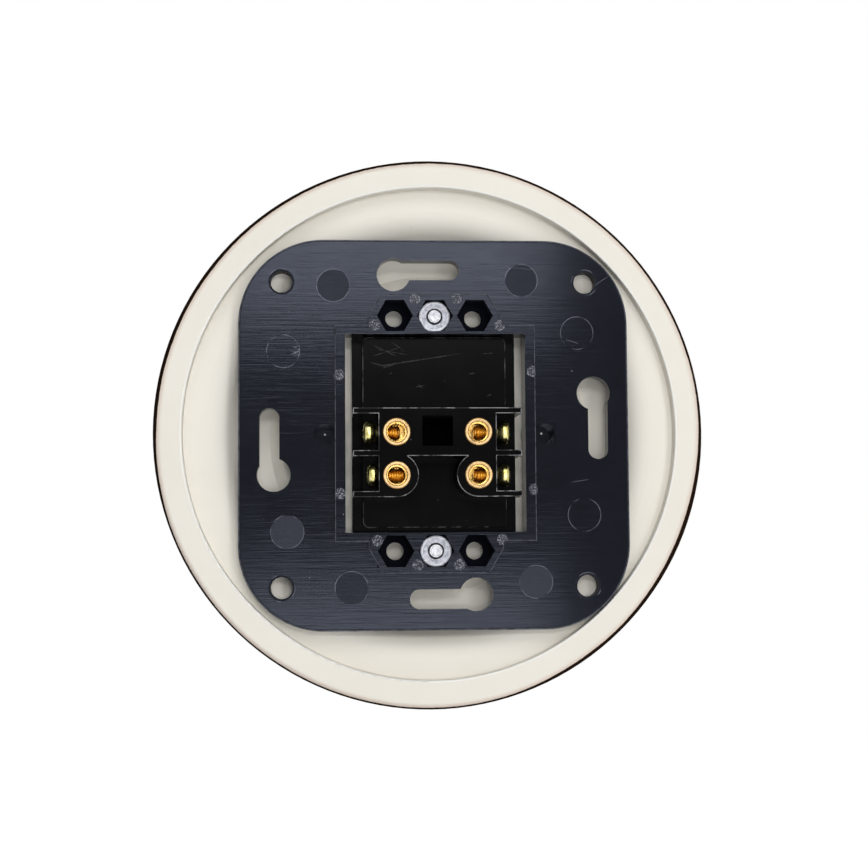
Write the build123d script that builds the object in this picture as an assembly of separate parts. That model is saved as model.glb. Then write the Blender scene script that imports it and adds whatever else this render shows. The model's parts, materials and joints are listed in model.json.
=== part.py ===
from build123d import *
import math
import os

# Double rocker wall switch: a round glazed ceramic cover, a square mounting frame behind it, and a
# switch module with two rockers held between the two.
# X runs to the right as seen from the front, -Y is the front, +Y is the wall and Z is up.
# The origin is the centre of the mounting frame's rear face. All sizes are in millimetres.

# Mounting frame
frame_side = 71.3
frame_corner = 15.5
frame_thickness = 3.0
frame_edge = 0.4
window_width = 32.6
window_height = 35.9
rib_side = 1.9
rib_end = 1.65
rib_height = 2.8
rib_edge = 0.25
pad_foot = 12.2
pad_shoulder = 20.8
pad_top = 9.6
pad_reach = 25.3
corner_pitch = 55.6
corner_hole_radius = 2.0
box_screw_pitch = 60.0
slot_width = 3.6
slot_reach = 4.7
entry_radius = 3.05
entry_offset = 7.4
entry_drop = 0.8
neck_run = 1.35
pocket_flats = 5.7
pocket_depth = 4.1
pocket_pitch = 7.26
screw_row = 21.3
screw_passage_radius = 1.6
post_x = 20.1
post_radius = 3.8
dimple_radius = 1.9
dimple_depth = 4.0
relief_width = 4.0
relief_height = 4.3
relief_depth = 0.3
mark_radius = 3.0
mark_depth = 0.12
ring_mark_radius = 2.05
ring_mark_x = 25.8
MARKS = ((18.4, 27.2), (27.5, 15.1), (-16.1, 28.2), (-26.3, 18.5),
         (26.8, -17.7), (15.2, -27.9), (-27.3, -14.9), (-18.3, -27.0))

# Ceramic cover. Its round shape sits a little off the centre of the frame.
cover_radius = 50.5
cover_rise = 9.7
cover_rim_back = 0.5
cover_shift_x = 0.7
cover_shift_z = 0.45
rim_round_width = 1.4
rim_widest = 2.9
rim_round_in = 0.35
rim_round_back = 1.6
rim_inner_edge = 0.4
rim_flat_width = 4.0
shelf_gap = 0.3
shelf_width = 3.9
bowl_slope_width = 4.6
bowl_turn_width = 3.2
bowl_turn_depth = 2.3
bowl_floor_width = 3.9
bowl_depth = 2.0
seat_slope_width = 2.0
brow_width = 2.1
brow_depth = 6.6
shoulder_width = 7.4
shoulder_drop = 0.7
crown_slope_width = 6.0
opening_width = 25.0
opening_height = 32.0
opening_corner = 2.5
opening_edge = 0.7

# Module housing
plateau_width = 26.3
plateau_top = 17.8
plateau_bottom = -17.1
plateau_corner = 1.2
plateau_edge = 0.3
plateau_setback = 0.6
base_floor = 1.0
base_wall = 1.3
gate_mark_x = 9.85
gate_mark_z = -14.5
gate_mark_width = 1.9
gate_mark_height = 1.7
flange_height = 39.0
flange_corner = 1.5
flange_thickness = 2.2
collar_gap = 0.2
collar_wall = 1.3
collar_proud = 2.2
collar_edge = 0.4
divider_width = 1.0
divider_rise = 3.8
divider_end_gap = 1.0

# Terminal block on the rear of the module
block_height = 8.0
block_edge = 0.2
block_half_width = 10.5
fin_half_width = 15.0
fin_thickness = 1.05
fin_top = 3.6
fin_middle = -3.95
fin_bottom = -11.2
pad_radius = 3.9
cradle_height = 2.0
lamp_socket_width = 5.45
lamp_socket_height = 5.1
lamp_socket_z = -0.1
lamp_socket_depth = 7.0

# Terminals and their clamp screws
terminal_x = 7.27
upper_terminal_z = -0.2
lower_terminal_z = -7.85
tube_radius = 2.475
tube_proud = 0.4
tube_foot = 0.2
tube_wall = 0.675
tube_mouth_edge = 0.15
tube_floor = 1.2
mouth_land = 0.35
mouth_step = 0.2
tail_radius = 1.0
clamp_y = 4.6
clamp_radius = 1.45
clamp_head_radius = 1.9
clamp_head_length = 1.8
clamp_standoff = 0.85
clamp_driven_in = 0.7
clamp_tip_edge = 0.7
clamp_slot_width = 0.6
clamp_slot_depth = 0.8

# Cover screws and nuts
screw_radius = 1.48
screw_head_radius = 2.85
screw_head_dome = 0.7
screw_tip = 1.45
screw_tip_edge = 0.25
screw_slot_width = 0.8
screw_slot_depth = 1.1
cover_hole_radius = 1.7
nut_flats = 5.5
nut_thickness = 2.4
nut_edge = 0.4

# Rockers, axle, plungers and springs
axle_depth = 9.6
axle_radius = 1.0
rocker_tilt = 7.0
rocker_gap = 0.4
rocker_side_gap = 0.2
rocker_end_gap = 0.25
rocker_valley = 3.1
rocker_skirt = 1.6
rocker_wall = 1.2
rocker_skin = 1.5
rocker_edge = 0.5
hub_radius = 2.0
boss_radius = 2.2
boss_end = 4.0
roof_wall = 0.25
plunger_radius = 1.35
plunger_nose = 1.0
plunger_wall = 0.4
plunger_pocket = 1.8
plunger_travel = 0.8
plunger_stop_gap = 0.3
spring_wire = 0.15
spring_turns = 5

# Contacts inside the module
strip_thickness = 0.5
bracket_half_width = 2.4
bracket_top = 4.4
bracket_bottom = -2.2
cheek_thickness = 0.4
cheek_length = 2.4
cheek_rise = 2.2
ridge_base = 1.8
lever_thickness = 0.6
lever_half_width = 1.8
lever_back = 3.5
lever_tail = 3.8
lever_tip = -9.3
lever_tilt = 5.5
pivot_radius = 0.2
tip_clear = 0.05
rivet_radius = 1.1
rivet_height = 0.4
contact_gap = 0.12
fixed_strip_width = 3.4
fixed_strip_length = 4.4

# Running and seating clearances, and how far a cutting shape runs past what it cuts
running_gap = 0.05
seat_gap = 0.02
overrun = 1.0

# Levels along Y and other sizes that follow from the values above
frame_front = -frame_thickness
dish_floor = frame_front - flange_thickness
cover_front = -cover_rim_back - cover_rise
rim_flat_radius = cover_radius - rim_round_width
dish_radius = rim_flat_radius - rim_flat_width
shelf_radius = dish_radius - shelf_width
bowl_turn_radius = shelf_radius - bowl_slope_width
bowl_foot = bowl_turn_radius - bowl_turn_width
seat_foot = bowl_foot - bowl_floor_width
seat_radius = seat_foot - seat_slope_width
brow_radius = cover_radius - brow_width
shoulder_radius = brow_radius - shoulder_width
crown_radius = shoulder_radius - crown_slope_width
collar_front = cover_front - collar_proud
flange_width = 2 * fin_half_width
plateau_back = -plateau_setback
cavity_floor = plateau_back - base_floor
collar_width = opening_width - 2 * collar_gap
collar_height = opening_height - 2 * collar_gap
well_width = collar_width - 2 * collar_wall
well_height = collar_height - 2 * collar_wall
plateau_height = plateau_top - plateau_bottom
plateau_middle = (plateau_top + plateau_bottom) / 2
tube_mouth = block_height + tube_proud
tube_bore = tube_radius - tube_wall
axle_y = -axle_depth
rocker_width = (well_width - rocker_gap - 2 * rocker_side_gap) / 2
rocker_centre = (rocker_gap + rocker_width) / 2
rocker_reach = well_height / 2 - rocker_end_gap
rocker_face = axle_y - rocker_valley
lever_level = -lever_back
lever_face = lever_level - lever_thickness
plunger_tip = lever_face - tip_clear
spring_roof = axle_y + axle_radius + running_gap + roof_wall
plunger_back = spring_roof + plunger_stop_gap + plunger_travel
spring_seat = plunger_back + plunger_pocket
block_root = plateau_back - base_floor / 2
SIDES = (("left", -1), ("right", 1))


def slab(outline, back, front):
    """A flat outline drawn in X and Z, made solid from its back level to its front level."""
    base = Plane(origin=(0, back, 0), x_dir=(1, 0, 0), z_dir=(0, -1, 0))
    return extrude(base * outline, amount=back - front)


def rod_y(radius, x, z, back, front):
    """A round rod along Y."""
    return slab(Pos(x, z) * Circle(radius), back, front)


def rod_x(radius, y, z, start, end):
    """A round rod along X."""
    low, high = min(start, end), max(start, end)
    return extrude(Plane.YZ.offset(low) * Pos(y, z) * Circle(radius), amount=high - low)


def block(x_low, x_high, z_low, z_high, back, front):
    """A plain block between two X, two Z and two Y levels."""
    outline = Rectangle(abs(x_high - x_low), z_high - z_low)
    return slab(Pos((x_low + x_high) / 2, (z_low + z_high) / 2) * outline, back, front)


def edges_at(solid, level):
    """The edges that lie wholly in the plane at this Y level."""
    return [e for e in solid.edges()
            if abs(e.bounding_box().min.Y - level) < 1e-4 and abs(e.bounding_box().max.Y - level) < 1e-4]


def circles_at(solid, distance):
    """The round edges of a rod along X that lie at this distance from X = 0."""
    return [e for e in solid.edges().filter_by(GeomType.CIRCLE)
            if abs(abs(e.center().X) - distance) < 1e-4]


def tilted(solid, level, degrees):
    """The solid turned about the X-wise line at this Y level and Z = 0."""
    return Pos(0, level, 0) * Rot(degrees, 0, 0) * Pos(0, -level, 0) * solid


def keyhole():
    """Outline of the keyhole above the window: a slot with a round entry at its right end."""
    low_end = slot_width / 2 - slot_reach
    middle = box_screw_pitch / 2
    entry = Pos(entry_offset, middle - entry_drop) * Circle(entry_radius)
    slot = Pos((low_end + entry_offset) / 2, middle) * Rectangle(entry_offset - low_end, slot_width)
    end = Pos(low_end, middle) * Circle(slot_width / 2)
    corner = entry_radius * math.sqrt(0.5)
    neck_x = entry_offset - corner
    slot_edge = middle - slot_width / 2
    neck = Polygon((neck_x, middle - entry_drop - corner), (neck_x - neck_run, slot_edge),
                   (neck_x, slot_edge + slot_width / 4), align=None)
    return entry + slot + end + neck


def mounting_frame():
    """The moulded frame: plate, rib and nut pads round the window, keyholes and posts."""
    body = slab(RectangleRounded(frame_side, frame_side, frame_corner), 0, frame_front)
    body = fillet(edges_at(body, 0) + edges_at(body, frame_front), frame_edge)
    rib_width = window_width + 2 * rib_side
    rib_top = window_height / 2 + rib_end
    raised = Rectangle(rib_width, 2 * rib_top)
    for turn in (0, 180):
        raised += Rot(0, 0, turn) * Polygon(
            (-pad_foot, 0), (pad_foot, 0), (pad_foot, pad_shoulder), (pad_top, pad_reach),
            (-pad_top, pad_reach), (-pad_foot, pad_shoulder), align=None)
    raised = slab(raised, rib_height, frame_front / 2)
    raised = fillet(edges_at(raised, rib_height), rib_edge)
    body += raised
    for side in (-1, 1):
        body += rod_y(post_radius, side * post_x, 0, frame_front, dish_floor)
    body -= slab(Rectangle(window_width, window_height), rib_height, dish_floor)
    for side in (-1, 1):
        body -= rod_y(dimple_radius, side * post_x, 0, 0, -dimple_depth)
        relief = Pos(side * post_x, 0) * Rectangle(relief_width, relief_height)
        body -= slab(relief, 0, -relief_depth)
        for height in (-1, 1):
            x, z = side * corner_pitch / 2, height * corner_pitch / 2
            body -= rod_y(corner_hole_radius, x, z, 0, frame_front)
    for quarter in range(4):
        body -= slab(Rot(0, 0, -90 * quarter) * keyhole(), 0, frame_front)
    for column in (-1, 0, 1):
        for row in (-1, 1):
            x, z = column * pocket_pitch, row * screw_row
            pocket = Pos(x, z) * RegularPolygon(pocket_flats / 2, 6, major_radius=False)
            body -= slab(pocket, rib_height, rib_height - pocket_depth)
            body -= rod_y(screw_passage_radius, x, z, rib_height, frame_front)
    for x, z in MARKS:
        body -= rod_y(mark_radius, x, z, 0, -mark_depth)
    for side in (-1, 1):
        body -= rod_y(ring_mark_radius, side * ring_mark_x, 0, 0, -mark_depth)
    return body


def cover_plate():
    """The ceramic cover: a turned bowl with a shelf and a rounded rim, an opening and two screw holes."""
    rim_back = -cover_rim_back
    crown = cover_front
    widest = -rim_widest
    shelf = frame_front - shelf_gap
    bowl_floor = dish_floor - bowl_depth
    seat = Polyline((0, dish_floor), (seat_radius, dish_floor), (seat_foot, bowl_floor), (bowl_foot, bowl_floor))
    cove = TangentArc(seat @ 1, (bowl_turn_radius, shelf - bowl_turn_depth), tangent=(1, 0))
    slope = TangentArc((shelf_radius, shelf), cove @ 1, tangent=(-1, 0))
    wall = Polyline((shelf_radius, shelf), (dish_radius, shelf), (dish_radius, rim_back - rim_inner_edge))
    lip = RadiusArc(wall @ 1, (dish_radius + rim_inner_edge, rim_back), rim_inner_edge)
    flat = Line(lip @ 1, (rim_flat_radius, rim_back))
    edge = TangentArc(flat @ 1, (cover_radius - rim_round_in, widest + rim_round_back), tangent=(1, 0))
    side = TangentArc(edge @ 1, (cover_radius, widest), tangent=edge % 1)
    brow = TangentArc((cover_radius, widest), (brow_radius, -brow_depth), tangent=(0, -1))
    shoulder = TangentArc(brow @ 1, (shoulder_radius, crown + shoulder_drop), tangent=brow % 1)
    rise = TangentArc(shoulder @ 1, (crown_radius, crown), tangent=shoulder % 1)
    front = Polyline(rise @ 1, (0, crown), (0, dish_floor))
    outline = make_face([seat, cove, slope, wall, lip, flat, edge, side, brow, shoulder, rise, front])
    body = Pos(cover_shift_x, 0, cover_shift_z) * revolve(outline, Axis.Y)
    opening = RectangleRounded(opening_width, opening_height, opening_corner)
    body -= slab(opening, dish_floor, crown)
    rounded = [e for e in edges_at(body, crown) if abs(e.center().Z) < opening_height / 2 + overrun]
    body = fillet(rounded, opening_edge)
    for row in (-1, 1):
        z = row * screw_row
        body -= rod_y(cover_hole_radius, 0, z, dish_floor, crown)
        sink = screw_head_radius + running_gap
        depth = sink - cover_hole_radius
        cone = Cone(cover_hole_radius, sink, depth)
        body -= Pos(0, crown + depth / 2, z) * Rot(90, 0, 0) * cone
    return body


def nut(z):
    """A hexagon nut seated at the bottom of its pocket."""
    seat = rib_height - pocket_depth
    corner = nut_flats / math.sqrt(3)
    hexagon = slab(Pos(0, z) * RegularPolygon(nut_flats / 2, 6, major_radius=False),
                   seat + nut_thickness, seat)
    round_blank = rod_y(corner, 0, z, seat + nut_thickness, seat)
    round_blank = chamfer(edges_at(round_blank, seat + nut_thickness), nut_edge)
    return hexagon & round_blank - rod_y(screw_radius + seat_gap, 0, z, seat + nut_thickness, seat)


def cover_screw(z):
    """A slotted raised countersunk screw from the front of the cover through its nut."""
    sink_end = cover_front + screw_head_radius - screw_radius
    dome = ThreePointArc((0, cover_front - screw_head_dome),
                         (screw_head_radius * 0.55, cover_front - screw_head_dome * 0.72),
                         (screw_head_radius, cover_front))
    side = Polyline((screw_head_radius, cover_front), (screw_radius, sink_end),
                    (screw_radius, screw_tip - screw_tip_edge),
                    (screw_radius - screw_tip_edge, screw_tip), (0, screw_tip),
                    (0, cover_front - screw_head_dome))
    body = Pos(0, 0, z) * revolve(make_face([dome, side]), Axis.Y)
    groove = block(-screw_head_radius, screw_head_radius, z - screw_slot_width / 2,
                   z + screw_slot_width / 2, cover_front - screw_head_dome + screw_slot_depth,
                   collar_front)
    return body - groove


def terminal_places():
    """Name, side and height of each terminal."""
    return [(f"{level}_{name}", side, z) for name, side in SIDES
            for level, z in (("upper", upper_terminal_z), ("lower", lower_terminal_z))]


def switch_base():
    """The rear housing: a shallow tray with the terminal block and its barrier fins."""
    outline = Pos(0, plateau_middle) * RectangleRounded(plateau_width, plateau_height, plateau_corner)
    tray = slab(outline, plateau_back, frame_front)
    tray = fillet(edges_at(tray, plateau_back), plateau_edge)
    hollow = Pos(0, plateau_middle) * Rectangle(plateau_width - 2 * base_wall,
                                                plateau_height - 2 * base_wall)
    tray -= slab(hollow, cavity_floor, frame_front)
    divider = well_height / 2 - divider_end_gap
    tray += block(-divider_width / 2, divider_width / 2, -divider, divider,
                  cavity_floor, cavity_floor - divider_rise)
    half_fin = fin_thickness / 2
    bar = Pos(0, (fin_top + fin_middle) / 2) * Rectangle(
        2 * block_half_width, fin_top - fin_middle + fin_thickness)
    for z in (fin_top, fin_middle):
        bar += Pos(0, z) * Rectangle(2 * fin_half_width, fin_thickness)
    for side in (-1, 1):
        x = side * terminal_x
        outer_half = Pos(side * (terminal_x + fin_half_width) / 2, lower_terminal_z) * Rectangle(
            fin_half_width - terminal_x, 2 * pad_radius)
        pocket = Pos(side * (block_half_width + fin_half_width) / 2, lower_terminal_z) * Rectangle(
            fin_half_width - block_half_width, 2 * pad_radius)
        bar += Pos(x, lower_terminal_z) * Circle(pad_radius) + outer_half - pocket
        bar += Pos(side * (terminal_x + fin_half_width) / 2, fin_bottom) * Rectangle(
            fin_half_width - terminal_x, fin_thickness)
    raised = slab(bar, block_height, block_root)
    raised = fillet(edges_at(raised, block_height), block_edge)
    tray += raised
    half_plateau = plateau_width / 2
    for side in (-1, 1):
        for z in (fin_top, fin_middle, fin_bottom):
            tray += block(side * (half_plateau - base_wall / 2), side * fin_half_width,
                          z - half_fin, z + half_fin, block_height / 2, frame_front)
        tray += block(side * (block_half_width - half_fin), side * half_plateau, fin_bottom, fin_top,
                      cradle_height, block_root)
    socket = Pos(0, lamp_socket_z) * Rectangle(lamp_socket_width, lamp_socket_height)
    tray -= slab(socket, block_height, block_height - lamp_socket_depth)
    for side in (-1, 1):
        gate = Pos(side * gate_mark_x, gate_mark_z) * Rectangle(gate_mark_width, gate_mark_height)
        tray -= slab(gate, plateau_back, plateau_back - mark_depth)
    for _, side, z in terminal_places():
        x = side * terminal_x
        tray -= rod_y(tube_radius + seat_gap, x, z, block_height, tube_foot)
        tray -= rod_y(tail_radius + seat_gap, x, z, tube_foot, cavity_floor)
        tray -= rod_x(clamp_radius + running_gap, clamp_y, z, x, side * fin_half_width)
    return tray


def switch_bezel():
    """The front housing: a clamping flange and the collar that passes through the cover."""
    flange = slab(RectangleRounded(flange_width, flange_height, flange_corner),
                  frame_front, dish_floor)
    collar = slab(RectangleRounded(collar_width, collar_height, opening_corner - collar_gap),
                  frame_front, collar_front)
    collar = fillet(edges_at(collar, collar_front), collar_edge)
    body = flange + collar
    body -= slab(Rectangle(well_width, well_height), frame_front, collar_front)
    return body - rod_x(axle_radius + seat_gap, axle_y, 0, -collar_width, collar_width)


def terminal(side, z):
    """A brass tube terminal, open to the rear, with a tail that reaches its contact strip."""
    x = side * terminal_x
    step = clamp_y + clamp_radius + mouth_land
    tube = rod_y(tube_radius, x, z, tube_mouth, tube_foot)
    tube += rod_y(tail_radius, x, z, tube_foot, cavity_floor)
    tube -= rod_y(tube_bore, x, z, tube_mouth, step)
    tube = chamfer(edges_at(tube, tube_mouth), tube_mouth_edge)
    tube -= rod_y(tube_bore - mouth_step, x, z, step, tube_foot + tube_floor)
    return tube - rod_x(clamp_radius + seat_gap, clamp_y, z, x, x + side * 2 * tube_radius)


def terminal_screw(side, z, driven_in):
    """A slotted clamp screw that enters its terminal from the side."""
    neck = block_half_width + clamp_standoff - driven_in
    head_end = neck + clamp_head_length
    far_wall = math.sqrt((tube_bore - mouth_step) ** 2 - (clamp_radius - clamp_tip_edge) ** 2)
    tip = terminal_x - far_wall + running_gap + clamp_driven_in - driven_in
    body = rod_x(clamp_radius, clamp_y, z, side * tip, side * neck)
    body = chamfer(circles_at(body, tip), clamp_tip_edge)
    head = rod_x(clamp_head_radius, clamp_y, z, side * neck, side * head_end)
    head = fillet(circles_at(head, head_end), clamp_head_length * 0.4)
    head = chamfer(circles_at(head, neck), clamp_head_radius - clamp_radius - running_gap)
    groove = block(side * (head_end - clamp_slot_depth), side * head_end, z - clamp_slot_width / 2,
                   z + clamp_slot_width / 2, clamp_y + clamp_head_radius,
                   clamp_y - clamp_head_radius)
    return body + head - groove


def common_bracket(side):
    """The strip under an upper terminal, with a ridge and two cheeks that hold the lever."""
    x = side * terminal_x
    top = cavity_floor - strip_thickness
    body = block(x - bracket_half_width, x + bracket_half_width, bracket_bottom, bracket_top,
                 cavity_floor, top)
    for cheek in (-1, 1):
        outer = x + cheek * bracket_half_width
        body += block(outer - cheek * cheek_thickness, outer, -cheek_length / 2, cheek_length / 2,
                      top, top - cheek_rise)
    ridge = Polygon((top, -ridge_base / 2), (top, ridge_base / 2), (lever_level, pivot_radius),
                    (lever_level, -pivot_radius), align=None)
    ridge = extrude(Plane.YZ.offset(x - lever_half_width) * ridge, amount=2 * lever_half_width)
    nose = rod_x(pivot_radius, lever_level, 0, x - lever_half_width, x + lever_half_width)
    return body + ridge + nose


def contact_lever(side):
    """The rocking contact strip, built level and turned to its open position."""
    x = side * terminal_x
    strip = block(x - lever_half_width, x + lever_half_width, lever_tip, lever_tail,
                  lever_level, lever_face)
    strip -= rod_x(pivot_radius + running_gap, lever_level, 0, x - lever_half_width, x + lever_half_width)
    rivet = rod_y(rivet_radius, x, lower_terminal_z, lever_level + rivet_height, lever_level)
    return tilted(strip + rivet, lever_level, -lever_tilt)


def fixed_contact(side):
    """The strip under a lower terminal, with the rivet that the lever meets."""
    x = side * terminal_x
    top = cavity_floor - strip_thickness
    arm = abs(lower_terminal_z)
    closed = lever_level + rivet_height + arm * math.sin(math.radians(lever_tilt))
    body = block(x - fixed_strip_width / 2, x + fixed_strip_width / 2,
                 lower_terminal_z - fixed_strip_length / 2, lower_terminal_z + fixed_strip_length / 2,
                 cavity_floor, top)
    return body + rod_y(rivet_radius, x, lower_terminal_z, top, closed + contact_gap)


def rocker(side):
    """One rocker: a hollow key with a shallow valley in its face, a hub and a plunger boss."""
    centre = side * rocker_centre
    low, high = centre - rocker_width / 2, centre + rocker_width / 2
    slope = math.tan(math.radians(rocker_tilt))
    skirt = axle_y + rocker_skirt
    span = rocker_reach + overrun

    def key(face, reach, x_low, x_high, open_end):
        outline = Polygon((open_end, -span), (open_end, span), (face - span * slope, span), (face, 0),
                          (face - span * slope, -span), align=None)
        body = extrude(Plane.YZ.offset(x_low) * outline, amount=x_high - x_low)
        return body & rod_x(reach, axle_y, 0, x_low, x_high)

    outer = key(rocker_face, rocker_reach, low, high, skirt)
    rim = [e for e in outer.edges() if e.center().Y < rocker_face - rocker_edge / 2]
    outer = fillet(rim, rocker_edge)
    inner = key(rocker_face + rocker_skin, rocker_reach - rocker_wall, low + rocker_wall,
                high - rocker_wall, skirt + overrun)
    body = outer - inner
    core = rod_x(hub_radius, axle_y, 0, low + rocker_wall / 2, high - rocker_wall / 2)
    core += rod_y(boss_radius, side * terminal_x, 0, axle_y + boss_end, rocker_face + rocker_skin / 2)
    body += core
    body -= rod_x(axle_radius + running_gap, axle_y, 0, low, high)
    body -= rod_y(plunger_radius + running_gap, side * terminal_x, 0, axle_y + boss_end, spring_roof)
    return tilted(body, axle_y, rocker_tilt)


def plunger(side):
    """The round-nosed plunger that presses on the lever, in the boss of its rocker."""
    x = side * terminal_x
    shoulder = plunger_tip - plunger_nose
    body = rod_y(plunger_radius, x, 0, shoulder, plunger_back)
    body += Pos(x, shoulder, 0) * Sphere(plunger_nose)
    body -= rod_y(plunger_radius - plunger_wall, x, 0, spring_seat, plunger_back)
    return tilted(body, axle_y, rocker_tilt)


def spring(side):
    """The coil spring between the roof of the boss and the pocket of the plunger."""
    height = spring_seat - spring_roof - 2 * spring_wire - 2 * seat_gap
    radius = plunger_radius - plunger_wall - spring_wire - running_gap
    path = Helix(pitch=height / spring_turns, height=height, radius=radius)
    section = Plane(origin=path @ 0, z_dir=path % 0) * RegularPolygon(spring_wire, 6)
    coil = sweep(section, path=path, is_frenet=True)
    coil = Pos(side * terminal_x, spring_roof + spring_wire + seat_gap, 0) * Rot(-90, 0, 0) * coil
    return tilted(coil, axle_y, rocker_tilt)


def build():
    """Every piece by its name."""
    parts = {
        "cover_plate": cover_plate(),
        "mounting_frame": mounting_frame(),
        "switch_base": switch_base(),
        "switch_bezel": switch_bezel(),
        "rocker_axle": rod_x(axle_radius, axle_y, 0, -collar_width / 2 + collar_gap,
                             collar_width / 2 - collar_gap),
    }
    for name, row in (("top", 1), ("bottom", -1)):
        parts[f"cover_nut_{name}"] = nut(row * screw_row)
        parts[f"cover_screw_{name}"] = cover_screw(row * screw_row)
    for name, side, z in terminal_places():
        parts[f"terminal_{name}"] = terminal(side, z)
        driven_in = clamp_driven_in if name == "lower_right" else 0
        parts[f"clamp_screw_{name}"] = terminal_screw(side, z, driven_in)
    for name, side in SIDES:
        parts[f"common_bracket_{name}"] = common_bracket(side)
        parts[f"contact_lever_{name}"] = contact_lever(side)
        parts[f"fixed_contact_{name}"] = fixed_contact(side)
        parts[f"rocker_{name}"] = rocker(side)
        parts[f"plunger_{name}"] = plunger(side)
        parts[f"plunger_spring_{name}"] = spring(side)
    return parts


os.makedirs("parts", exist_ok=True)
for part_name, solid in build().items():
    export_step(solid, f"parts/{part_name}.step")
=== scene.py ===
import json
import math

import bpy
from mathutils import Matrix, Vector


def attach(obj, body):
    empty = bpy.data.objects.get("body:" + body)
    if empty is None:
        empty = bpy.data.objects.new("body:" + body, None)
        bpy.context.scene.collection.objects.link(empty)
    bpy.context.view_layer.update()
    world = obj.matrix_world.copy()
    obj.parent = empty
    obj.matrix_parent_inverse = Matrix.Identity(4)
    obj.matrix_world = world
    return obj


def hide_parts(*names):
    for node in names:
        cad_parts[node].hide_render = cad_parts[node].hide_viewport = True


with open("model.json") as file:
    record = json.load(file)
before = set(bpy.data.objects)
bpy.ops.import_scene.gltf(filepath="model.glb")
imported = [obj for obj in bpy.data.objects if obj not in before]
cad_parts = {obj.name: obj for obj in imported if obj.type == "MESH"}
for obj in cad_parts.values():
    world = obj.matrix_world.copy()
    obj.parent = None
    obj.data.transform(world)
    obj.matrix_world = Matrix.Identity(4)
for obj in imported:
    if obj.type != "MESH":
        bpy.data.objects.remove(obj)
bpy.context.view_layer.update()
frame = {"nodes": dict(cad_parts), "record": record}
nodes = frame["nodes"]
MM = 0.001
FILL = 0.2  # the white world's share that lights the part


class Wire:
    """One output of a node. Arithmetic on it adds Math nodes to the same tree."""

    def __init__(self, tree, socket):
        self.tree = tree
        self.socket = socket

    def maths(self, operation, *values):
        return self.tree.node("ShaderNodeMath", {"operation": operation}, dict(enumerate(values)))

    def out(self, name):
        return Wire(self.tree, self.socket.node.outputs[name])

    def __add__(self, other):
        return self.maths("ADD", self, other)

    __radd__ = __add__

    def __sub__(self, other):
        return self.maths("SUBTRACT", self, other)

    def __rsub__(self, other):
        return self.maths("SUBTRACT", other, self)

    def __mul__(self, other):
        return self.maths("MULTIPLY", self, other)

    __rmul__ = __mul__

    def __truediv__(self, other):
        return self.maths("DIVIDE", self, other)

    def power(self, other):
        return self.maths("POWER", self, other)

    def least(self, other):
        return self.maths("MINIMUM", self, other)

    def most(self, other):
        return self.maths("MAXIMUM", self, other)

    def size(self):
        return self.maths("ABSOLUTE", self)


class Tree:
    """A node tree with one method that adds any node."""

    def __init__(self, tree):
        self.tree = tree

    def node(self, kind, settings=None, inputs=None, output=0):
        made = self.tree.nodes.new(kind)
        for name, value in (settings or {}).items():
            if name == "stops":
                self.set_stops(made.color_ramp.elements, value)
            elif name == "points":
                self.set_points(made.mapping, value)
            else:
                setattr(made, name, value)
        for name, value in (inputs or {}).items():
            self.feed(made.inputs[name], value)
        return Wire(self, made.outputs[output]) if len(made.outputs) else made

    def feed(self, socket, value):
        if isinstance(value, Wire):
            self.tree.links.new(value.socket, socket)
        elif socket.type == "RGBA" and len(value) == 3:
            socket.default_value = (*value, 1)
        else:
            socket.default_value = value

    @staticmethod
    def set_stops(elements, stops):
        while len(elements) > 1:
            elements.remove(elements[-1])
        for number, (place, colour) in enumerate(stops):
            element = elements.new(place) if number else elements[0]
            element.position = place
            element.color = (*colour, 1)

    @staticmethod
    def set_points(mapping, points):
        curve = mapping.curves[0]
        while len(curve.points) < len(points):
            curve.points.new(0.5, 0.5)
        for point, place in zip(curve.points, points):
            point.location = place
            point.handle_type = "VECTOR"
        mapping.update()


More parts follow.
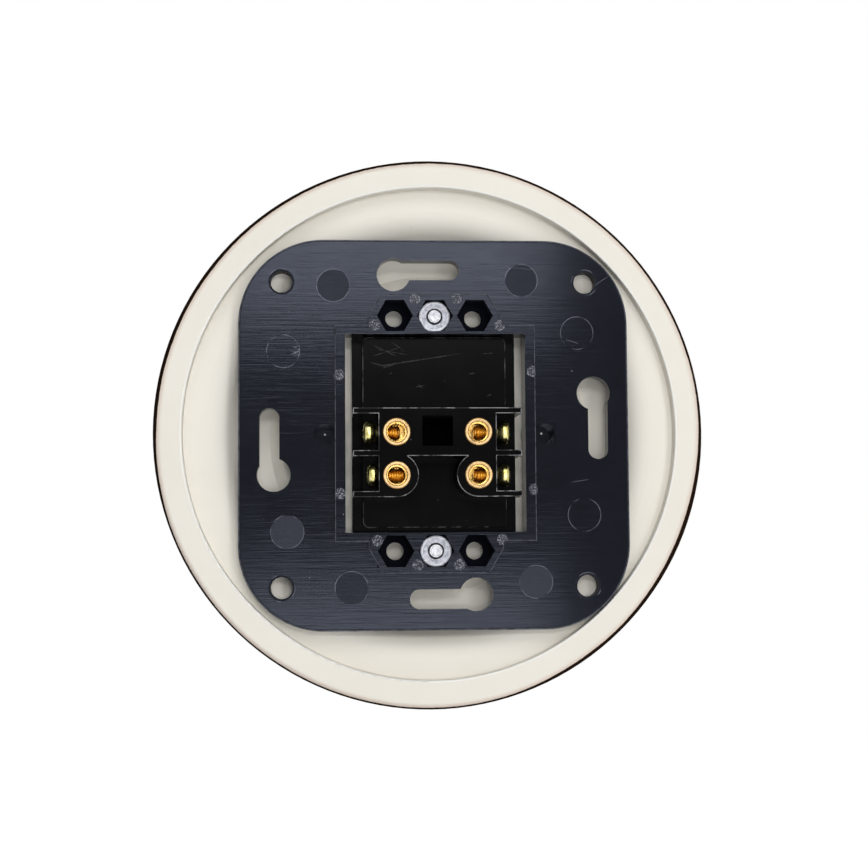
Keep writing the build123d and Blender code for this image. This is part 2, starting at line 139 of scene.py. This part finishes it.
class Finish(Tree):
    """A material. Its patterns are laid out in millimetres on the piece's own coordinates."""

    def __init__(self, name):
        self.material = bpy.data.materials.new(name)
        self.material.use_nodes = True
        super().__init__(self.material.node_tree)
        self.tree.nodes.clear()
        place = self.node("ShaderNodeTexCoord", output="Object")
        self.place = self.vector("SCALE", place, Scale=1 / MM)
        parts = self.node("ShaderNodeSeparateXYZ", None, {0: self.place})
        self.x, self.y, self.z = parts, parts.out("Y"), parts.out("Z")
        self.facing = self.node("ShaderNodeSeparateXYZ", None, {0: place.out("Normal")}).out("Y")

    def vector(self, operation, *values, output=0, **named):
        inputs = {**dict(enumerate(values)), **named}
        return self.node("ShaderNodeVectorMath", {"operation": operation}, inputs, output)

    def stretched(self, x, y, z):
        return self.vector("MULTIPLY", self.place, (x, y, z))

    def noise(self, scale, detail=3, roughness=0.5, place=None, twist=0):
        inputs = {"Vector": place or self.place, "Scale": scale, "Detail": detail, "Roughness": roughness,
                  "Distortion": twist}
        return self.node("ShaderNodeTexNoise", None, inputs)

    def cells(self, scale):
        """Distance from the middle of the nearest cell."""
        return self.node("ShaderNodeTexVoronoi", None, {"Vector": self.place, "Scale": scale})

    def between(self, value, low, high, at_low=0, at_high=1):
        inputs = {"Value": value, "From Min": low, "From Max": high, "To Min": at_low, "To Max": at_high}
        return self.node("ShaderNodeMapRange", {"interpolation_type": "SMOOTHSTEP"}, inputs)

    def blend(self, factor, first, second):
        return self.node("ShaderNodeMix", {"data_type": "RGBA"}, {0: factor, 6: first, 7: second}, 2)

    def off_axis(self, x, z):
        return ((self.x - x).power(2) + (self.z - z).power(2)).power(0.5)

    def scratch(self, start, end, width):
        """How much of a scratch between two places (x, z) covers each point."""
        along = Vector(end) - Vector(start)
        run = along.normalized()
        forward = (self.x - start[0]) * run.x + (self.z - start[1]) * run.y
        aside = ((self.x - start[0]) * -run.y + (self.z - start[1]) * run.x).size()
        inside = self.between(forward, 0, along.length * 0.2) * self.between(
            forward, along.length * 0.7, along.length, 1, 0)
        return self.between(aside, width * 0.3, width, 1, 0) * inside

    def marks(self, places, radius):
        """Round marks at the places (x, z): how much they cover each point, and their outlines."""
        discs, rings = 0, 0
        for x, z in places:
            away = self.off_axis(x, z)
            discs = self.between(away, radius - 0.12, radius, 1, 0) + discs
            rings = self.between((away - radius).size(), 0.03, 0.1, 1, 0) + rings
        return discs, rings

    def rounded(self):
        """1 on the small roundings round the rearward faces, 0 on flat faces."""
        return self.between(self.facing, 0.12, 0.4) * self.between(self.facing, 0.9, 0.985, 1, 0)

    def pockets(self):
        """1 on the floors and walls of the hexagon pockets and the dimples, where gloss finds nothing."""
        column = self.x.size()
        away = column.least((column - POCKET_X).size()) * 2
        inside = self.between(away, POCKET_FLATS * 1.14, POCKET_FLATS * 1.16, 1, 0)
        aside = (self.z.size() - SCREW_Z).size() * 2
        level = self.between(aside, POCKET_FLATS * 1.02, POCKET_FLATS * 1.04, 1, 0)
        return inside * level * self.between(self.y, 2.5, 2.7, 1, 0)

    def mouth_edges(self):
        """1 on the outer edges of the terminals' mouths."""
        upper, lower = TERMINAL_Z
        column = (self.x.size() - TERMINAL_X).power(2)
        away = column + (self.z - upper).power(2).least((self.z - lower).power(2))
        return self.between(away.power(0.5), 2.28, 2.4) * self.between(self.x.size(), 9.95, 10.05, 1, 0)

    def sockets(self):
        """1 inside the lamp socket, whose walls give no gloss."""
        away = self.x.size().most(self.z.size())
        return self.between(away, 2.7, 2.75, 1, 0) * self.between(self.y, 8.1, 8.3, 1, 0)

    def bump(self, height, depth, strength=1.0):
        inputs = {"Strength": strength, "Distance": depth * MM, "Height": height}
        return self.node("ShaderNodeBump", None, inputs)

    def surface(self, **sockets):
        inputs = {name.replace("_", " "): value for name, value in sockets.items()}
        shader = self.node("ShaderNodeBsdfPrincipled", None, inputs)
        self.node("ShaderNodeOutputMaterial", None, {"Surface": shader})
        return self.material


# Sizes that the looks share with the solids, in millimetres
COVER_X, COVER_Z = 0.7, 0.45
COVER_FRONT = -10.2
LIP_RADIUS = 45.3
# Places of the frame's marks, as x and z
DARK_MARKS = ((18.4, 27.2), (-16.1, 28.2), (15.2, -27.9))
PALE_MARKS = ((26.8, -17.7), (-18.3, -27.0))
PLAIN_MARKS = ((27.5, 15.1), (-26.3, 18.5), (-27.3, -14.9))
SMALL_MARKS = ((3.62, 24.3), (-3.93, 24.4), (10.93, 19.5), (-11.75, 19.5), (17.4, 10.5), (-17.6, 11.1),
               (17.2, -10.9), (-17.8, -10.3), (10.6, -19.4), (-11.9, -19.3), (3.36, -23.8), (-4.13, -23.8))
CORNER_HOLES = tuple((x, z) for x in (-27.8, 27.8) for z in (-27.8, 27.8))
GLINTS = ((19.95, 0.15), (-20.05, 0.25))
TERMINAL_X = 7.27
TERMINAL_Z = (-0.2, -7.85)
CLAMP_Y = 4.6
POCKET_FLATS = 5.7
POCKET_X = 7.26
SCREW_Z = 21.3
COVER_SCREWS = ((0.0, SCREW_Z), (0.0, -SCREW_Z))
MARK_RADIUS = 3.0
SMALL_MARK_RADIUS = 1.05


def glazed_ceramic():
    m = Finish("glazed_ceramic")
    radius = m.off_axis(COVER_X, COVER_Z)
    wander = m.noise(0.05, 2) - 0.5
    ragged = m.noise(0.9, 3) - 0.5
    thin_side = m.between(m.x * 0.45 - m.z * 0.75, 15, 38, 0, 0.48)
    thick_side = m.between(m.x * -0.94 - m.z * 0.34, 42, 50, 0, 0.3)
    line = 49.48 + thin_side - thick_side + wander * 0.3 + ragged * 0.12
    wrapped = m.between(radius - line, 0, 0.12)
    front = m.between(m.y, -8.0, -7.6, 1, 0).most(m.between(m.facing, -0.12, -0.04, 1, 0))
    glaze = wrapped.most(front)
    # unglazed cream body
    cloud = m.noise(0.045, 3)
    fleck = m.between(m.cells(0.55), 0.05, 0.1, 1, 0) * m.between(m.noise(0.3, 1), 0.62, 0.7)
    cream = m.blend(cloud, (0.80, 0.765, 0.685), (0.87, 0.84, 0.77))
    cream = m.blend(fleck * 0.35, cream, (0.45, 0.33, 0.2))
    blush = m.between(radius - line, -0.9, 0) * m.between(m.y, -5, -3)
    cream = m.blend(blush * 0.35, cream, (0.52, 0.3, 0.2))
    # brown glaze, thinner and redder over edges
    pool = m.noise(0.11, 4, 0.6, twist=0.6)
    brown = m.blend(pool, (0.02, 0.008, 0.005), (0.075, 0.028, 0.013))
    opening = (m.x.size() - 12.5).most(m.z.size() - 16).size()
    thin = m.between(opening, 0, 0.9, 1, 0) * m.between(m.y, -9.2, -10.1)
    brown = m.blend(thin * 0.45, brown, (0.16, 0.065, 0.026))
    pooled = m.between(m.y, -3.1, -2.5)
    brown = m.blend(pooled * 0.9, brown, (0.014, 0.008, 0.005))
    # painted highlight: a pale line round the lip of the recess, standing in for light caught by its
    # rounded edge
    lip_highlight = m.between((radius - LIP_RADIUS).size(), 0.08, 0.2, 1, 0) * m.between(m.y, -1.2, -1.0)
    cream = m.blend(lip_highlight * 0.8, cream, (0.97, 0.96, 0.93))
    speck = m.between(m.cells(1.1), 0.06, 0.12, 1, 0) * m.between(m.noise(0.5, 1), 0.56, 0.66)
    brown = m.blend(speck * 0.5 * (1 - pooled), brown, (0.2, 0.1, 0.045))
    wave = m.noise(0.06, 2)
    grain = m.noise(2.6, 3, 0.6)
    height = wave * 0.5 + grain * 0.03 * (1 - glaze) + glaze * 0.12
    return m.surface(
        Base_Color=m.blend(glaze, cream, brown),
        Roughness=m.between(glaze, 0, 1, 0.5, 0.16) + (m.noise(0.7, 2) - 0.5) * 0.08,
        Normal=m.bump(height, 0.9, 0.6),
        Specular_IOR_Level=0.0,
        Coat_Weight=glaze * (1 - pooled) * 0.6,
        Coat_Roughness=0.06,
    )


def frame_plastic():
    m = Finish("frame_plastic")
    blotch = m.noise(0.09, 4, 0.6, twist=0.8)
    streak = m.noise(1.0, 3, 0.55, place=m.stretched(0.05, 1, 1.6))
    fine = m.noise(1.0, 2, 0.5, place=m.stretched(0.12, 1, 6))
    discs, rings = m.marks(DARK_MARKS, MARK_RADIUS)
    pale, pale_rings = m.marks(PALE_MARKS, MARK_RADIUS)
    rings = rings + pale_rings + m.marks(PLAIN_MARKS, MARK_RADIUS)[1]
    spots = m.marks(SMALL_MARKS, SMALL_MARK_RADIUS)[0] * m.between(m.y, -0.3, -0.1)
    grit = m.between(m.noise(5.5, 2, 0.7), 0.52, 0.64)
    tone = blotch * 0.6 + streak * 0.25 + fine * 0.15
    base = m.blend(tone, (0.0008, 0.0008, 0.0016), (0.006, 0.0066, 0.011))
    # painted shade: the corner holes and a thin band round them are darker and rougher
    hole_shade, arcs = m.marks(CORNER_HOLES, 2.4)
    base = m.blend(discs * 0.6 + hole_shade * 0.9, base, (0.0022, 0.0023, 0.004))
    rings = rings + arcs * m.between(m.noise(0.3, 1), 0.5, 0.6)
    base = m.blend(pale * (grit * 0.3 + 0.7), base, (0.03, 0.033, 0.042))
    base = m.blend(rings * m.between(m.noise(0.35, 2), 0.36, 0.6), base, (0.13, 0.135, 0.16))
    base = m.blend(spots * 0.3, base, (0.06, 0.063, 0.08))
    base = m.blend(spots * grit * 0.8, base, (0.5, 0.51, 0.55))
    # painted highlight: lighter colour on the small roundings round the rearward faces, standing in for
    # light caught by the edges
    edges = m.rounded() * m.between(m.noise(0.8, 2), 0.3, 0.6, 0.3, 0.8)
    base = m.blend(edges, base, (0.13, 0.135, 0.16))
    speck = m.between(m.cells(0.42), 0.03, 0.07, 1, 0) * m.between(m.noise(0.21, 1), 0.6, 0.66)
    base = m.blend(speck * 0.6, base, (0.3, 0.31, 0.34))
    glints = m.marks(GLINTS, 0.24)[0] * m.between(m.y, -3.8, -3.6, 1, 0)
    base = m.blend(glints, base, (0.8, 0.8, 0.8))
    scuff = m.scratch((-29.5, 27.2), (-32.5, 29.2), 0.09)
    for start, end, width in (((-28.4, -8.4), (-24.6, -9.0), 0.08), ((-26.8, 16.5), (-24.0, 17.4), 0.1),
                              ((-5.0, 30.6), (-9.1, 28.9), 0.08), ((12.2, -30.6), (4.1, -31.2), 0.07),
                              ((-20.2, 30.0), (-11.2, 31.0), 0.07)):
        scuff = scuff.most(m.scratch(start, end, width))
    inside_mark = m.between(m.off_axis(*PLAIN_MARKS[0]), MARK_RADIUS - 0.1, MARK_RADIUS, 1, 0)
    rubbed = m.between(m.off_axis(24.9, 15.0), 0.4, 1.5, 1, 0) * inside_mark
    lines = m.between(m.noise(1.0, 3, place=m.stretched(1.2, 1, 3.5)), 0.5, 0.6)
    scuff = scuff.most(rubbed * lines * 2)
    base = m.blend(scuff * 0.35, base, (0.2, 0.21, 0.24))
    rough = 0.13 + (blotch - 0.5) * 0.08 + (fine - 0.5) * 0.06 + spots * 0.25 + scuff * 0.1
    rough = rough + (discs + pale) * 0.14 + hole_shade * 0.35
    height = streak * 0.8 + fine * 0.6 + spots * grit * 0.8 + scuff * 0.3
    return m.surface(
        Base_Color=base, Roughness=rough.most(m.pockets()), Specular_IOR_Level=0.12,
        Specular_Tint=(0.72, 0.79, 1.0), Normal=m.bump(height, 0.03, 0.45))


def housing_plastic():
    m = Finish("housing_plastic")
    cloud = m.noise(0.16, 4, 0.6)
    drag = m.noise(1.0, 3, 0.5, place=m.stretched(2.4, 1, 0.12))
    base = m.blend(cloud, (0.0004, 0.0004, 0.0005), (0.0016, 0.0016, 0.0018))
    # painted highlight: lighter colour on the small roundings, stronger towards the rear (higher y),
    # standing in for light caught along the fin and block edges
    edge_highlight = m.rounded() * m.between(m.noise(0.45, 3, 0.6), 0.42, 0.62, 0.12, 1)
    edge_highlight = edge_highlight * m.between(m.y, 0, 3, 0.3, 1)
    base = m.blend(edge_highlight, base, (0.36, 0.36, 0.38))
    lines = m.scratch((11.0, 12.3), (-5.9, 14.9), 0.13)
    for start, end, width in (((11.8, 16.6), (6.4, 14.0), 0.1), ((11.4, 14.2), (5.6, 16.1), 0.1),
                              ((10.9, 15.6), (4.2, 14.4), 0.09), ((9.6, 12.0), (6.1, 13.2), 0.11),
                              ((12.0, 13.2), (8.1, 12.2), 0.1), ((7.9, 17.0), (5.2, 15.0), 0.09),
                              ((-8.9, 14.7), (-11.1, 14.9), 0.09), ((3.4, 8.6), (1.6, 8.9), 0.09),
                              ((2.9, 9.1), (2.0, 8.2), 0.1), ((-6.4, 11.0), (-7.6, 11.2), 0.1),
                              ((8.3, 10.9), (7.6, 11.3), 0.1), ((-9.6, 6.9), (-10.6, 7.3), 0.09)):
        lines = lines.most(m.scratch(start, end, width))
    lines = lines * m.between(m.y, -0.75, -0.65) * m.between(m.y, -0.5, -0.3, 1, 0)
    base = m.blend(lines * m.between(m.noise(1.4, 2), 0.35, 0.6, 0.25, 0.8), base, (0.07, 0.07, 0.072))
    speck = m.between(m.cells(0.5), 0.03, 0.08, 1, 0) * m.between(m.noise(0.33, 1), 0.58, 0.64)
    base = m.blend(speck * 0.4, base, (0.16, 0.16, 0.16))
    rough = 0.2 + (cloud - 0.5) * 0.14 + lines * 0.2
    return m.surface(
        Base_Color=base, Roughness=rough.most(m.sockets()), Specular_IOR_Level=0.025,
        Normal=m.bump(drag * 0.4 + cloud * 0.6 + lines, 0.03, 0.5))


def metal(name, tones, rough, lay, cloud_scale=0.6):
    """Turned or plated metal: cloudy colour, fine tool lines across the given stretch.

    The tones are pairs of a mask and its dark and light colour, each laid over the one before.
    """
    m = Finish(name)
    cloud = m.between(m.noise(cloud_scale, 4, 0.6), 0.3, 0.7)
    tool = m.noise(1.0, 2, 0.5, place=m.stretched(*lay))
    stain = m.between(m.noise(1.1, 3, 0.6, twist=0.5), 0.56, 0.75)
    colour = None
    for mask, dark, light in tones:
        shade = m.blend(cloud, dark, light)
        shade = m.blend(stain * 0.3, shade, tuple(0.45 * c for c in dark))
        colour = m.blend(mask(m), colour, shade) if colour else shade
    return m.surface(
        Base_Color=colour, Metallic=1.0, Roughness=rough + (cloud - 0.5) * 0.12 + stain * 0.1,
        Normal=m.bump(tool, 0.01, 0.4))


def brass():
    """Pale gold at the mouths and yellow on the clamp screws' heads. The bright orange down the bores and
    on the shanks is partly painted light, for light bounced round inside the bores, and the mouths' outer
    edges carry painted shade.
    """
    return metal("brass", (
        # base tone, bright orange: partly brass colour, partly painted light for the glow bounced down the
        # bores and onto the clamp screws' shanks
        (None, (0.5, 0.3, 0.075), (0.8, 0.56, 0.2)),
        (lambda m: m.between(m.y, 7.6, 8.25), (0.27, 0.175, 0.08), (0.38, 0.265, 0.13)),
        # painted shade: darker outer edges of the mouths
        (lambda m: m.mouth_edges(), (0.1, 0.055, 0.02), (0.2, 0.12, 0.045)),
        (lambda m: m.between(m.x.size(), 10.2, 10.6), (0.45, 0.39, 0.12), (0.8, 0.74, 0.36)),
    ), 0.27, (5, 1, 5))


def zinc():
    """Dull zinc plate, paler round the nuts' faces and on the screws' ends."""
    def screw_end(m):
        return m.between(m.y, 0.9, 1.1)

    return metal("zinc_steel", (
        (None, (0.12, 0.125, 0.14), (0.34, 0.35, 0.385)),
        (lambda m: m.marks(COVER_SCREWS, 2.45)[1], (0.3, 0.305, 0.325), (0.48, 0.485, 0.51)),
        (lambda m: m.marks(COVER_SCREWS, 1.4)[0] * screw_end(m), (0.16, 0.165, 0.18), (0.5, 0.505, 0.53)),
        (lambda m: m.marks(COVER_SCREWS, 0.9)[1] * screw_end(m), (0.12, 0.12, 0.135), (0.3, 0.305, 0.32)),
    ), 0.48, (3, 3, 3), 1.5)


def moulded(name, dark, light, rough, coat):
    """Plain moulded plastic with a slight flow pattern."""
    m = Finish(name)
    flow = m.noise(0.14, 4, 0.55, twist=0.9)
    peel = m.noise(1.3, 2)
    colour = m.blend(flow, dark, light)
    return m.surface(
        Base_Color=colour, Roughness=rough + (flow - 0.5) * 0.1, Normal=m.bump(peel, 0.03, 0.3),
        Coat_Weight=coat, Coat_Roughness=0.08)


finishes = {
    "glazed_cover": glazed_ceramic(),
    "frame_plastic": frame_plastic(),
    "housing_plastic": housing_plastic(),
    "rocker_plastic": moulded("rocker_plastic", (0.022, 0.011, 0.006), (0.05, 0.024, 0.013), 0.3, 0.5),
    "plunger_plastic": moulded("plunger_plastic", (0.72, 0.69, 0.62), (0.82, 0.8, 0.74), 0.45, 0.0),
    "brass": brass(),
    "zinc_steel": zinc(),
    "spring_steel": metal("spring_steel", ((None, (0.42, 0.42, 0.43), (0.6, 0.6, 0.6)),), 0.3, (4, 4, 4)),
}
for subpart in frame["record"]["subparts"]:
    material = finishes[subpart["material_slot"]]
    mesh = nodes[subpart["node"]].data
    mesh.materials.clear()
    mesh.materials.append(material)


class Recipe(Tree):
    """A Geometry Nodes tree with named inputs."""

    KINDS = {float: "NodeSocketFloat", int: "NodeSocketInt", tuple: "NodeSocketVector",
             bpy.types.Material: "NodeSocketMaterial"}

    def __init__(self, name, inputs):
        super().__init__(bpy.data.node_groups.new(name, "GeometryNodeTree"))
        self.inputs = inputs
        sockets = self.tree.interface
        sockets.new_socket("Geometry", in_out="OUTPUT", socket_type="NodeSocketGeometry")
        self.keys = {}
        for label, value in inputs.items():
            made = sockets.new_socket(label, in_out="INPUT", socket_type=self.KINDS[type(value)])
            self.keys[label] = made.identifier
        self.source = self.tree.nodes.new("NodeGroupInput")

    def given(self, label):
        return Wire(self, self.source.outputs[label])

    def finish(self, geometry):
        """Turns instances into mesh, gives it its material and ends the tree."""
        real = self.node("GeometryNodeRealizeInstances", None, {0: geometry})
        coated = self.node("GeometryNodeSetMaterial", None, {
            "Geometry": real, "Material": self.given("Finish")})
        end = self.tree.nodes.new("NodeGroupOutput")
        self.feed(end.inputs[0], coated)

    def make(self, name, body, slot, replaced, sharp=35):
        """Evaluates the tree to a plain mesh that rides on a body."""
        piece = bpy.data.objects.new(name, bpy.data.meshes.new(name))
        bpy.context.scene.collection.objects.link(piece)
        modifier = piece.modifiers.new("recipe", "NODES")
        modifier.node_group = self.tree
        for label, value in self.inputs.items():
            modifier[self.keys[label]] = value
        depsgraph = bpy.context.evaluated_depsgraph_get()
        mesh = bpy.data.meshes.new_from_object(piece.evaluated_get(depsgraph))
        piece.modifiers.remove(modifier)
        piece.data = mesh
        mesh.shade_smooth()
        mesh.set_sharp_from_angle(angle=math.radians(sharp))
        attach(piece, body)
        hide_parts(*replaced)
        return piece


def screw_recipe(name, sizes, outline, places):
    """Slotted screws: a threaded shank and a turned head with a slot, copied to each place."""
    inputs = dict(sizes)
    for number, (place, turn) in enumerate(places):
        inputs[f"Place {number}"] = place
        inputs[f"Turn {number}"] = turn
    r = Recipe(name, inputs)

    def turned(around, along):
        blank = r.node("GeometryNodeMeshCylinder", None, {
            "Vertices": around, "Side Segments": along, "Fill Segments": 1, "Radius": 1.0, "Depth": 1.0})
        at = r.node("ShaderNodeSeparateXYZ", None, {0: r.node("GeometryNodeInputPosition")})
        return blank, at, at.out("Y"), at.out("Z") + 0.5

    def placed(blank, x, y, radius, along):
        spot = r.node("ShaderNodeCombineXYZ", None, {"X": x * radius, "Y": y * radius, "Z": along})
        return r.node("GeometryNodeSetPosition", None, {"Geometry": blank, "Position": spot})

    blank, x, y, share = turned(36, r.given("Thread Steps"))
    length = r.given("Shank Length")
    along = share * length
    around = y.maths("ARCTAN2", y, x) / math.tau
    turns = along / r.given("Pitch") + around
    phase = turns.maths("FRACT", turns)
    ridge = (phase * 2 - 1).size()
    thread = r.given("Thread Radius") - ridge * r.given("Thread Depth")
    tapered = r.given("Thread Radius") - r.given("Tip Edge") + along
    shank = placed(blank, x, y, thread.least(tapered), along)

    blank, x, y, share = turned(48, 40)
    profile = r.node("ShaderNodeFloatCurve", {"points": outline}, {"Value": share})
    head = placed(blank, x, y, profile * r.given("Head Radius"), length + share * r.given("Head Length"))
    top = length + r.given("Head Length")
    bar = r.node("GeometryNodeMeshCube", None, {"Size": r.node("ShaderNodeCombineXYZ", None, {
        "X": r.given("Slot Width"), "Y": r.given("Head Radius") * 4, "Z": r.given("Slot Depth") * 2})})
    spot = r.node("ShaderNodeCombineXYZ", None, {"Z": top})
    twist = r.node("ShaderNodeCombineXYZ", None, {"Z": r.given("Slot Turn")})
    bar = r.node("GeometryNodeTransform", None, {"Geometry": bar, "Translation": spot, "Rotation": twist})
    head = r.node("GeometryNodeMeshBoolean", {"operation": "DIFFERENCE", "solver": "EXACT"}, {
        "Mesh 1": head, "Mesh 2": bar})
    joined = r.tree.nodes.new("GeometryNodeJoinGeometry")
    for part in (shank, head):
        r.tree.links.new(part.socket, joined.inputs[0])
    screw = Wire(r, joined.outputs[0])
    copies = r.tree.nodes.new("GeometryNodeJoinGeometry")
    for number in range(len(places)):
        copy = r.node("GeometryNodeTransform", None, {
            "Geometry": screw, "Translation": r.given(f"Place {number}"),
            "Rotation": r.given(f"Turn {number}")})
        r.tree.links.new(copy.socket, copies.inputs[0])
    r.finish(Wire(r, copies.outputs[0]))
    return r


def clamp_screws():
    tip, neck, head_end = 6.607, 10.5, 13.15
    driven_in = {("right", "lower"): 0.7}
    places, replaced = [], []
    for name, side in (("left", -1), ("right", 1)):
        for level, z in zip(("upper", "lower"), TERMINAL_Z):
            start = tip - driven_in.get((name, level), 0.0)
            places.append(((side * start * MM, CLAMP_Y * MM, z * MM), (0.0, side * math.pi / 2, 0.0)))
            replaced.append(f"clamp_screw_{level}_{name}")
    sizes = {
        "Finish": finishes["brass"],
        "Thread Radius": 1.45 * MM, "Thread Depth": 0.3 * MM, "Pitch": 0.45 * MM,
        "Shank Length": (neck - tip) * MM, "Thread Steps": 80, "Tip Edge": 0.5 * MM,
        "Head Radius": 2.08 * MM, "Head Length": (head_end - neck) * MM,
        "Slot Width": 0.5 * MM, "Slot Depth": 0.6 * MM, "Slot Turn": 1.45}
    outline = ((0, 0.66), (0.16, 0.72), (0.36, 0.88), (0.52, 0.985), (0.62, 1.0), (0.74, 0.98),
               (0.86, 0.88), (0.95, 0.68), (1, 0.45))
    screw_recipe("clamp_screw", sizes, outline, places).make("clamp_screws", "housing", "brass", replaced)


def cover_screws():
    tip, thread, rim, dome, widest = 1.45, 1.48, 2.85, 0.7, 0.985
    seat = COVER_FRONT + rim - thread
    places = [((x * MM, tip * MM, z * MM), (math.pi / 2, 0.0, 0.0)) for x, z in COVER_SCREWS]
    head = seat - COVER_FRONT + dome
    sink = (seat - COVER_FRONT) / head
    outline = [(0, thread / rim), (sink * 0.5, 0.76), (sink * 0.97, widest), (sink, widest)]
    steps = 7
    for step in range(1, steps + 1):
        share = step / steps
        arc = math.sqrt(1 - share ** 2)
        outline.append((sink + (1 - sink) * share, widest * arc + 0.02 * share))
    sizes = {
        "Finish": finishes["zinc_steel"],
        "Thread Radius": thread * MM, "Thread Depth": 0.27 * MM, "Pitch": 0.5 * MM,
        "Shank Length": (tip - seat) * MM, "Thread Steps": 160, "Tip Edge": 0.35 * MM,
        "Head Radius": rim * MM, "Head Length": head * MM,
        "Slot Width": 0.8 * MM, "Slot Depth": 1.1 * MM, "Slot Turn": 1.2}
    screw_recipe("cover_screw", sizes, outline, places).make(
        "cover_screws", "housing", "zinc_steel", ["cover_screw_top", "cover_screw_bottom"])


clamp_screws()
cover_screws()


def camera():
    """The camera of the photograph, a little off the axis behind the part."""
    data = bpy.data.cameras.new("camera")
    data.lens = 68.65
    data.sensor_width = 36.0
    data.clip_start = 0.01
    data.clip_end = 20.0
    eye = Vector((0.020, 0.300, -0.021))
    aim = Vector((0.00014, 0.0, -0.00005))
    seen = bpy.data.objects.new("camera", data)
    seen.location = eye
    look = (aim - eye).to_track_quat("-Z", "Y").to_matrix()
    seen.rotation_euler = (look @ Matrix.Rotation(math.radians(-0.4), 3, "Z")).to_euler()
    bpy.context.scene.collection.objects.link(seen)
    bpy.context.scene.camera = seen


def softbox(name, place, width, height, power):
    """A lamp that lights the part from a place and is not seen by the camera."""
    data = bpy.data.lights.new(name, "AREA")
    data.shape = "RECTANGLE"
    data.size = width
    data.size_y = height
    data.energy = power
    lamp = bpy.data.objects.new(name, data)
    lamp.location = place
    lamp.rotation_euler = (Vector() - Vector(place)).to_track_quat("-Z", "Y").to_euler()
    lamp.visible_camera = False
    bpy.context.scene.collection.objects.link(lamp)


def seen_directly(tree):
    """1 for rays from the camera, from gloss and through glass; 0 for rays that carry light."""
    path = tree.node("ShaderNodeLightPath")
    return path.most(path.out("Is Glossy Ray")).most(path.out("Is Transmission Ray"))


def studio():
    """White world, pale floor and six lamps: two strips that give the frame its gloss, four boxes round."""
    world = bpy.data.worlds.new("studio")
    bpy.context.scene.world = world
    world.use_nodes = True
    tree = Tree(world.node_tree)
    tree.tree.nodes.clear()
    direct = seen_directly(tree)
    strength = direct + (1 - direct) * FILL
    sky = tree.node("ShaderNodeBackground", None, {"Color": (1, 1, 1), "Strength": strength})
    tree.node("ShaderNodeOutputWorld", None, {"Surface": sky})

    bpy.ops.mesh.primitive_plane_add(size=60, location=(0, 0, -0.3))
    floor = bpy.context.object
    floor.name = "floor"
    material = bpy.data.materials.new("floor")
    material.use_nodes = True
    tree = Tree(material.node_tree)
    tree.tree.nodes.clear()
    shade, white = 0.86, 1.02
    matt = tree.node("ShaderNodeBsdfDiffuse", None, {"Color": (shade, shade, shade)})
    glow = tree.node("ShaderNodeEmission", None, {
        "Color": (1, 1, 1), "Strength": seen_directly(tree) * (white - shade * FILL)})
    both = tree.node("ShaderNodeAddShader", None, {0: matt, 1: glow})
    tree.node("ShaderNodeOutputMaterial", None, {"Surface": both})
    floor.data.materials.append(material)

    softbox("upper_strip", (-0.01, 0.6, 0.145), 0.19, 0.08, 0.66)
    softbox("lower_strip", (-0.015, 0.6, -0.08), 0.18, 0.08, 0.5)
    softbox("upper_box", (0.0, 0.45, 0.42), 0.7, 0.3, 1.35)
    softbox("lower_box", (0.0, 0.45, -0.42), 0.7, 0.3, 1.35)
    softbox("side_box", (-0.27, 0.6, 0.0), 0.15, 0.5, 0.92)
    softbox("front_box", (-0.35, -0.6, 0.5), 0.5, 0.5, 4)


camera()
studio()

scene = bpy.context.scene
scene.view_settings.view_transform = "Standard"
